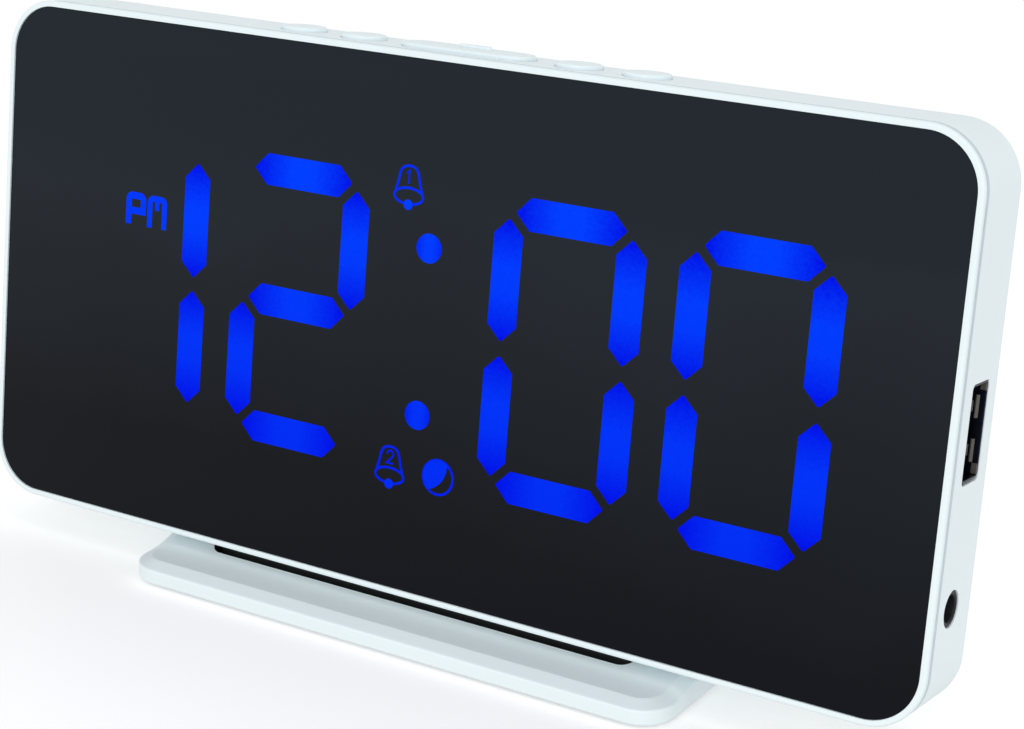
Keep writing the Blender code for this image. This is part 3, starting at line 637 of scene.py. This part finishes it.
marks = Marks()
for z in (COLON_Z, -COLON_Z):
    dot = ellipse((0.0, z), COLON_RADIUS, COLON_RADIUS)
    marks.prism(dot, LIT_FRONT, GUIDE_BACK, True, lambda u, v: u / 3.0)
for drop, sign in ((0.0, ONE), (BELL_DROP, TWO)):
    lip = ellipse((BELL_MIDDLE, 19.27 - drop), 2.48, 1.18)
    clapper = ellipse((BELL_MIDDLE, 18.02 - drop), 0.76, 0.76, 32)
    marks.ribbon([(u, v - drop) for u, v in BELL_SIDE], OUTLINE_STROKE)
    marks.ribbon(lip, OUTLINE_STROKE, closed=True, front=LIT_FRONT - LIFT)
    marks.prism(clapper, LIT_FRONT - 2 * LIFT, STROKE_BACK, True)
    marks.ribbon([(u, v - drop) for u, v in sign], SIGN_STROKE, dim=0.75)
marks.ribbon(ellipse(MOON, MOON_RADIUS, MOON_RADIUS, 64), OUTLINE_STROKE, closed=True)
marks.prism(moon_fill(), LIT_FRONT - LIFT, STROKE_BACK, True)
for outline in (
    rounded(5.8, 7.0, 1.0, (-4.15, 20.5), 3)(0),
    rounded(5.8, 7.0, 1.0, (-4.15, -20.95), 3)(0),
    circle(2.9, (4.3, -20.7), 32)(0),
):
    marks.prism(outline, GUIDE_FRONT, GUIDE_BACK, False)
marks.done("centre_marks_lit", "centre_marks_lens", rounded(15.2, 49.6, 0.6, (0.0, -0.4), 3))

LETTER_TOP = 11.3
LETTER_P = [
    (-55.55, 7.45),
    *arc((-54.9, LETTER_TOP), 0.65, 180, 90, 5),
    *arc((-53.35, LETTER_TOP), 0.65, 90, 0, 5),
    (-52.70, 9.60),
    (-55.3, 9.60),
]
LETTER_M = [
    (-51.36, 7.4),
    *arc((-50.7, LETTER_TOP), 0.66, 180, 90, 5),
    *arc((-49.2, LETTER_TOP), 0.68, 90, 0, 5),
    (-48.52, 7.4),
]
LETTER_M_MIDDLE = [(-49.95, 11.9), (-49.95, 10.2)]
LETTERS_MIDDLE = (-52.05, 10.0)
marks = Marks()
marks.ribbon(LETTER_P, 1.08, dim=0.3)
marks.ribbon(LETTER_M, 0.94, front=LIT_FRONT - LIFT, dim=0.3)
marks.ribbon(LETTER_M_MIDDLE, 0.8, front=LIT_FRONT - 2 * LIFT, dim=0.3)
marks.prism(rounded(8.6, 5.6, 0.8, LETTERS_MIDDLE, 3)(0), GUIDE_FRONT, GUIDE_BACK, False)
marks.done("pm_mark_lit", "pm_mark_lens", rounded(9.6, 6.6, 0.6, LETTERS_MIDDLE, 3))

# ---------------------------------------------------------------- buttons and sensor

PROUD = 0.62
FLANGE = 0.85
BUTTON_TOP = TOP + PROUD
BUTTON_RIM = 0.55
BUTTON_NAMES = ("left_outer_button", "left_inner_button", "right_inner_button", "right_outer_button")
rim_corners = [(0.0, TOP - 2.2, 0), (0.0, BUTTON_TOP, 0.24), (BUTTON_RIM, BUTTON_TOP, 0)]

# Flange, wall, rounded rim and a shallow dish, as (inset, height).
button_profile = [
    (-FLANGE, TOP - 3.0),
    (-FLANGE, TOP - 2.4),
    (0.0, TOP - 2.4),
    *fillet(rim_corners, steps=6, hold=0.05)[1:],
    (BUTTON_RIM + 0.5, BUTTON_TOP - 0.012),
    (BUTTON_RIM + 1.2, BUTTON_TOP - 0.028),
]
for name, x in zip(BUTTON_NAMES, BUTTON_X):
    button = sweep(circle(BUTTON_R, (x, BUTTON_Y), 72), button_profile, "XY")
    dress(mesh_object(name + "_cap", button), WHITE, [name], name)

RIB_TOP = BUTTON_TOP + 0.36
bar = sweep(stadium(BAR_HALF, BUTTON_R, (0.0, BUTTON_Y), 32), button_profile, "XY")
rib = fillet([(0.0, TOP + 0.2, 0), (0.0, RIB_TOP, 0.14), (0.4, RIB_TOP, 0)], steps=4, hold=0)
sweep(stadium(2.1, 0.55, (0.0, 8.55), 10), rib, "XY", shape=bar)
dress(mesh_object("snooze_bar_cap", bar), WHITE, ["snooze_bar"], "snooze_bar")

sensor_profile = [(0, 34.1), (0, TOP - 0.5), (0.12, TOP - 0.38), (0.3, TOP - 0.33)]
sensor = sweep(circle(0.45, SENSOR_PLACE, 32), sensor_profile, "XY")
dress(mesh_object("sensor_window", sensor), SENSOR, ["light_sensor"])

# ---------------------------------------------------------------- sockets

USB_BACK = 66.6
USB_MOUTH = SIDE - 0.1
USB_RISE = 0.14
USB_WALL = 0.3
USB_HALF = 2.58
mouth = [(0, 70, 0), (0, USB_MOUTH, 0.12), (USB_WALL, USB_MOUTH, 0.1), (USB_WALL, 70, 0)]
shell_profile = [(0.0, USB_BACK), *fillet(mouth, hold=0), (USB_WALL, USB_BACK)]
shell_outline = rounded(5.8, 13.1, 0.8, (USB_Y, USB_Z + USB_RISE), 8)
shell = sweep(shell_outline, shell_profile, "YZ", closed=True)


def sprung_tab(shape, z, half, wall, inward, line):
    """A tab bent from the socket's shell, as a strip through (depth, lift) points."""
    edges = []
    for depth, lift in line:
        low, high = (wall + inward * lift + inward * shift for shift in (0.0, TAB_THICK))
        spots = ((low, z - half), (high, z - half), (low, z + half), (high, z + half))
        edges.append([shape.verts.new((SIDE - depth, y, level)) for y, level in spots])
    faces = []
    for near, far in zip(edges, edges[1:]):
        for a, b in ((0, 1), (1, 3), (3, 2), (2, 0)):
            faces.append(shape.faces.new((near[a], near[b], far[b], far[a])))
    for end in (edges[0], edges[-1]):
        faces.append(shape.faces.new((end[0], end[1], end[3], end[2])))
    for face in faces:
        face.material_index = 1


TAB_THICK = 0.1
TAB_TIP = ((1.42, 0.02), (1.36, 0.22), (1.2, 0.26), (0.98, 0.18), (0.88, 0.02))
TAB_FOLD = ((0.95, 0.02), (0.9, 0.07), (0.16, 0.07), (0.11, 0.02))
TAB_ARM = ((6.0, 0.05), (3.4, 0.6), (2.6, 0.45), (1.66, 0.02))
for z in (USB_Z - 2.95, USB_Z + 2.95):
    for wall, inward in ((USB_Y + USB_HALF, -1), (USB_Y - USB_HALF, 1)):
        sprung_tab(shell, z, 1.55, wall, inward, TAB_TIP)
        sprung_tab(shell, z - 0.1, 0.75, wall, inward, TAB_ARM)
for z, half in ((USB_Z + 5.75, 0.5), (USB_Z - 5.35, 0.75)):
    sprung_tab(shell, z, half, USB_Y + USB_HALF, -1, TAB_FOLD)
bmesh.ops.recalc_face_normals(shell, faces=shell.faces)
shell = dress(mesh_object("usb_socket_shell", shell), SOCKET_STEEL, ["usb_shell"])
shell.data.materials.append(TAB_STEEL)

core = slab(rounded(4.4, 12.0, 0.2, (USB_Y, USB_Z), 3), USB_BACK + 0.3, USB_BACK + 3.2, "YZ", 0.1, 0.1)
tongue = rounded(1.8, 11.0, 0.25, (USB_Y - 1.05, USB_Z), 3)
slab(tongue, USB_BACK + 3.0, USB_MOUTH - 1.4, "YZ", 0.0, 0.2, shape=core)
dress(mesh_object("usb_tongue", core), NAVY, ["usb_insulator"])
for number, across in enumerate((-3.5, -1.0, 1.0, 3.5), 1):
    strip_outline = rounded(0.2, 1.0, 0.05, (USB_Y + 0.11, USB_Z + across), 2)
    strip = slab(strip_outline, USB_BACK + 3.5, USB_MOUTH - 2.2, "YZ", 0.05, 0.08)
    dress(mesh_object(f"usb_strip_{number}", strip), BRASS, [f"usb_contact_{number}"])

JACK_FRONT = SIDE - 0.2
barrel = fillet(
    [
        (0.0, 77.0, 0),
        (0.0, JACK_FRONT, 0.12),
        (0.6, JACK_FRONT, 0.3),
        (0.75, SIDE - 1.6, 0),
        (0.75, 70.5, 0),
    ],
    hold=0.05,
)
jack = sweep(circle(2.5, (JACK_Y, JACK_Z)), [(0.9, 77.0), *barrel, (2.3, 70.5)], "YZ")
slab(rounded(6.8, 8.0, 0.3, (JACK_Y, JACK_Z), 3), 69.0, 69.9, "YZ", 0.1, 0.1, shape=jack)
dress(mesh_object("dc_socket", jack), JACK, ["dc_jack_body"])
pin_profile = [(-0.75, 68.2), (-0.75, 68.7), (0, 68.7), (0, 79.0), (0.1, 79.3), (0.35, 79.5)]
pin = sweep(circle(0.65, (JACK_Y, JACK_Z), 32), pin_profile, "YZ")
dress(mesh_object("dc_socket_pin", pin), STEEL, ["jack_pin"])

# ---------------------------------------------------------------- rear cover, cap and screws

CELL = (30.0, -2.0)
SOUND = (-40.0, 0.0)
COVER_FRONT = 12.5
COVER_BACK = 13.9
THROUGH = 12.0
SCREWS = [(sx * 74.6, sz * 33.8) for sx in (-1, 1) for sz in (-1, 1)]
NECK_SCREWS = [(-24.0, -34.9), (24.0, -34.9)]


def sink(outline, floor, flare=0.12):
    """A cutter for a recess in the rear cover down to floor, with an eased edge."""
    profile = [(0, floor), (0, COVER_BACK - flare), (-flare, COVER_BACK + PAST), (-flare, COVER_BACK + CLEAR)]
    return sweep(outline, profile), CASE


def lug(start, span, inner, outer, low, high):
    """A sector of a ring round the coin cell's axis, between two depths."""
    points = arc(CELL, outer, start, start + span, 10) + arc(CELL, inner, start + span, start, 10)
    return sweep(lambda inset: points, [(0, low), (0, high)])


cover_outline = rounded(CASE_W - 2 * WALL, CASE_H - 2 * WALL, CASE_RADIUS - WALL, steps=16)
cover = mesh_object("back_cover", slab(cover_outline, COVER_FRONT, COVER_BACK, high_round=0.35))
sinks = [sink(circle(11.3, CELL), THROUGH), sink(circle(12.95, CELL, 96), 13.05)]
for start in (-66.0, 114.0):
    sinks.append((lug(start, 34, 10.5, 12.5, THROUGH, 14.5), CASE))
for spot in SCREWS + NECK_SCREWS:
    sinks.append(sink(circle(2.5, spot, 40), 12.6))
    sinks.append(sink(circle(1.35, spot, 24), THROUGH))
for count, radius, turn in ((1, 0.0, 0), (6, 3.4, 0), (12, 6.6, 15)):
    for i in range(count):
        angle = math.radians(360 / count * i + turn)
        spot = (SOUND[0] + radius * math.cos(angle), SOUND[1] + radius * math.sin(angle))
        sinks.append(sink(circle(0.8, spot, 24), THROUGH, 0.1))
carve(cover, sinks)
dress(cover, WHITE, ["rear_cover"])

# The cap's plug, the flange in the cover's recess, its rim, and a fine ring in its face.
CAP_PLUG = 11.6
cap_profile = [(3.0, 12.5), (2.25, 12.5), (2.25, CAP_PLUG), (1.65, CAP_PLUG), (1.65, 13.25), (0.0, 13.25)]
cap_profile += fillet([(0.0, 13.4, 0), (0.0, COVER_BACK, 0.2), (1.0, COVER_BACK, 0)])[1:-1]
cap_profile += [(1.7, COVER_BACK), (1.76, 13.72), (2.0, 13.72), (2.06, COVER_BACK), (3.0, COVER_BACK)]
cap = mesh_object("cell_cap", sweep(circle(12.6, CELL, 96), cap_profile))
carve(cap, [sink(stadium(6.0, 0.9, CELL, 16), 13.3)])
with_lugs = bmesh.new()
with_lugs.from_mesh(cap.data)
for start in (-13.0, 167.0):
    shape = lug(start, 26, 10.6, 12.3, CAP_PLUG, 12.2)
    shape.transform(CASE)
    piece = bpy.data.meshes.new("lug")
    shape.to_mesh(piece)
    with_lugs.from_mesh(piece)
with_lugs.to_mesh(cap.data)
dress(cap, WHITE, ["battery_cap"], "battery_cap")

HEAD_BACK = 13.75
HEAD_SEAT = 12.9
SHANK_INSET = 1.05
CROSS_LONG = 1.1
CROSS_HALF = 0.22


def pan_screw(name, node, spot, tip):
    """A pan-head screw whose shank reaches in to tip, with a cross recess."""
    profile = [(1.5, tip), (SHANK_INSET, tip + 0.8), (SHANK_INSET, HEAD_SEAT), (0.0, HEAD_SEAT)]
    profile += fillet([(0.0, 13.0, 0), (0.0, HEAD_BACK, 0.45), (1.2, HEAD_BACK, 0)], hold=0)[1:]
    made = mesh_object(name, sweep(circle(2.1, spot, 40), profile + [(1.6, HEAD_BACK)]))
    x, z = spot
    bars = [
        brick((x - CROSS_LONG, 13.35, z - CROSS_HALF), (x + CROSS_LONG, 15, z + CROSS_HALF)),
        brick((x - CROSS_HALF, 13.36, z - CROSS_LONG), (x + CROSS_HALF, 15, z + CROSS_LONG)),
    ]
    carve(made, [(shape, CASE) for shape in bars])
    dress(made, STEEL, [node])


for number, spot in enumerate(SCREWS, 1):
    pan_screw(f"cover_screw_head_{number}", f"cover_screw_{number}", spot, 4.6)
for number, spot in enumerate(NECK_SCREWS, 1):
    pan_screw(f"neck_screw_head_{number}", f"neck_screw_{number}", spot, 6.4)

# ---------------------------------------------------------------- foot

FOOT_W = 93.6
FOOT_HALF = 25.0
FOOT_RADIUS = 5.2
FOOT_BOTTOM = 0.4
RAMP_START = -2.5
SLOT_W = 74.8
SLOT_D = 11.9
SLOT_Y = -10.15
SLOT_MARGIN = 0.1


def foot_top(y):
    """Height of the foot's top: level in front, rising to the case, then falling to a level back."""
    behind = y - BOTTOM_Y
    rise = 3.6 + (0.031 * (behind - RAMP_START) ** 2 if behind > RAMP_START else 0.0)
    under_case = BOTTOM_Z - behind * math.tan(LEAN) - 0.35
    if behind > 0.0:
        rise = min(rise, under_case)
    return max(rise, 3.5)


def foot_chain(inset):
    """The foot's right-hand edge from front to back."""
    half = FOOT_W / 2 - inset
    turn = FOOT_RADIUS - inset
    reach = FOOT_HALF - FOOT_RADIUS
    chain = arc((half - turn, -reach), turn, -90, 0, 12)
    stations = [-19.5 + 0.5 * i for i in range(25)] + [-6.0, -4.5, -3.5, -2.8, -2.2, 2.0, 10.0]
    chain += [(half, y) for y in stations if -reach + 0.1 < y < reach]
    return chain + arc((half - turn, reach), turn, 0, 90, 12)


def foot_loop(shape, inset, height):
    right = foot_chain(inset)
    points = right + [(-x, y) for x, y in reversed(right)]
    return [shape.verts.new((x, y, height(y))) for x, y in points]


foot = bmesh.new()
rim = fillet([(0, 3.0, 0), (0, 0.95, 0.35), (2.1, 0.0, 0.5), (4.0, 0.0, 0)], steps=4, hold=0.08)[1:-1]
levels = [
    (1.6, lambda y: 2.5),
    (1.6, lambda y: FOOT_BOTTOM),
    (0.25, lambda y: FOOT_BOTTOM),
    (0.07, lambda y: FOOT_BOTTOM + 0.07),
    (0.0, lambda y: FOOT_BOTTOM + 0.25),
    (0.0, lambda y: FOOT_BOTTOM + 0.4),
]
levels += [(inset, lambda y, drop=drop: foot_top(y) - drop) for inset, drop in rim]
loops = [foot_loop(foot, inset, height) for inset, height in levels]
join_loops(foot, loops)
for loop in (loops[0], loops[-1]):
    last = len(loop) - 1
    for i in range(len(loop) // 2 - 1):
        foot.faces.new((loop[i], loop[i + 1], loop[last - i - 1], loop[last - i]))
bmesh.ops.recalc_face_normals(foot, faces=foot.faces)
foot = mesh_object("foot_body", foot, TABLE)
slot_cut = sweep(rounded(SLOT_W, SLOT_D, 2.2, (0.0, SLOT_Y), 10), [(0, 2.0), (0, 8.0)], "XY")
carve(foot, [(slot_cut, TABLE)])
dress(foot, WHITE, ["foot_shell"])
# The walls of the slot in the white foot take the black plastic: painted shade in the slot.
foot.data.materials.append(BLACK)
for face in foot.data.polygons:
    spot = face.center / MM
    in_shaded_slot = abs(spot.x) < SLOT_W / 2 + SLOT_MARGIN and abs(spot.y - SLOT_Y) < SLOT_D / 2 + SLOT_MARGIN
    if in_shaded_slot and abs(face.normal.z) < 0.3:
        face.material_index = 1

pad_profile = [(0.9, 0.0), (0.3, 0.0), (0.08, 0.08), (0.0, 0.3), (0.0, 0.7)]
for number in range(1, 5):
    low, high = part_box(f"foot_pad_{number}")
    middle = ((low[0] + high[0]) / 2 / MM, (low[1] + high[1]) / 2 / MM)
    pad = sweep(circle(4.0, middle, 48), pad_profile, "XY")
    dress(mesh_object(f"rubber_pad_{number}", pad, TABLE), RUBBER, [f"foot_pad_{number}"])

# ---------------------------------------------------------------- CAD pieces that keep their shapes

KEPT = {
    "light_box": BOX_BLACK,
    "display_board": BOARD,
    "button_board": BOARD,
    "power_board": BOARD,
    "clock_chip": BLACK,
    "buzzer": BLACK,
    "cell_holder": BLACK,
    "coin_cell": STEEL,
    "cell_contact_minus": BRASS,
    "cell_contact_plus": BRASS,
    "board_header": BLACK,
    "neck": BLACK,
    "foot_base_plate": SLATE,
    "foot_weight": STEEL,
    "base_screw_1": STEEL,
    "base_screw_2": STEEL,
}
KEPT.update({f"switch_{number}": BLACK for number in range(1, 6)})
for node, look in KEPT.items():
    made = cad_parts[node]
    if not made.data.materials:
        made.data.materials.append(look)
    for socket in made.material_slots:
        socket.material = look

# ---------------------------------------------------------------- studio

floor_shape = bmesh.new()
bmesh.ops.create_grid(floor_shape, x_segments=1, y_segments=1, size=6.0)
floor = mesh_object("floor", floor_shape, Matrix.Identity(4))
floor_look, tree, shader = shader_of("pale_floor")
floor_tone = mix_colors(tree, noise(tree, 3.0), (0.90, 0.90, 0.90), (0.92, 0.92, 0.92))
tree.links.new(floor_tone, shader.inputs["Base Color"])
shader.inputs["Roughness"].default_value = 0.9
shader.inputs["Specular IOR Level"].default_value = 0.1
shader.inputs["Emission Color"].default_value = (1.0, 1.0, 1.0, 1.0)
shader.inputs["Emission Strength"].default_value = 0.27
floor.data.materials.append(floor_look)
floor.visible_diffuse = False

# Diffuse light passes through the floor, so a dark patch just below it keeps the gap under the
# foot dark. The camera sees only the floor.
PATCH_Z = -0.2
patch_shape = bmesh.new()
patch_points = [(x, y, PATCH_Z) for x, y in rounded(92.0, 48.5, 5.0, steps=4)(0)]
patch_shape.faces.new([patch_shape.verts.new(point) for point in patch_points])
patch = mesh_object("floor_under_foot", patch_shape, TABLE)
patch.data.materials.append(BLACK)

world = bpy.data.worlds.new("studio")
bpy.context.scene.world = world
world.use_nodes = True
tree = world.node_tree
backdrop = tree.nodes["Background"]
toward = tree.nodes.new("ShaderNodeTexCoord")
split = tree.nodes.new("ShaderNodeSeparateXYZ")
tree.links.new(toward.outputs["Generated"], split.inputs["Vector"])
rising = ramp_between(tree, split.outputs["Z"], 0.0, 1.0, 0.12, 1.0)
sky = mix_colors(tree, rising, (1.0, 1.0, 1.0), (0.55, 0.56, 0.57))
sinking = ramp_between(tree, split.outputs["Z"], 1.0, 0.0, -1.0, -0.1)
ground = mix_colors(tree, sinking, (1.0, 1.0, 1.0), (0.45, 0.45, 0.45))
tree.links.new(mix_colors(tree, 1.0, sky, ground, "MULTIPLY"), backdrop.inputs["Color"])
backdrop.inputs["Strength"].default_value = 0.98


def softbox(name, spot, aim, size, power):
    lamp = bpy.data.lights.new(name, "AREA")
    lamp.shape = "RECTANGLE"
    lamp.size, lamp.size_y = size
    lamp.energy = power
    made = bpy.data.objects.new(name, lamp)
    made.location = spot
    made.rotation_euler = (Vector(aim) - Vector(spot)).to_track_quat("-Z", "Y").to_euler()
    bpy.context.scene.collection.objects.link(made)


softbox("key_front", (0.25, -1.0, 0.45), (0.0, 0.0, 0.04), (0.9, 0.7), 3.6)
softbox("side_right", (1.1, -0.1, 0.9), (0.0, 0.0, 0.04), (0.7, 0.7), 1.3)
softbox("top_soft", (0.0, 0.3, 1.4), (0.0, 0.0, 0.0), (1.6, 1.6), 1.8)

bpy.context.scene.view_settings.view_transform = "Standard"
bpy.context.scene.view_settings.look = "None"

lens = bpy.data.cameras.new("camera")
lens.sensor_width = 36.0
lens.lens = 83.24
lens.shift_x = 0.02132
lens.shift_y = -0.03294
lens.clip_start = 0.01
camera = bpy.data.objects.new("camera", lens)
camera.location = (0.179887, -0.280867, 0.151028)
camera.rotation_euler = (1.255783, -0.011021, 0.563643)
bpy.context.scene.collection.objects.link(camera)
bpy.context.scene.camera = camera
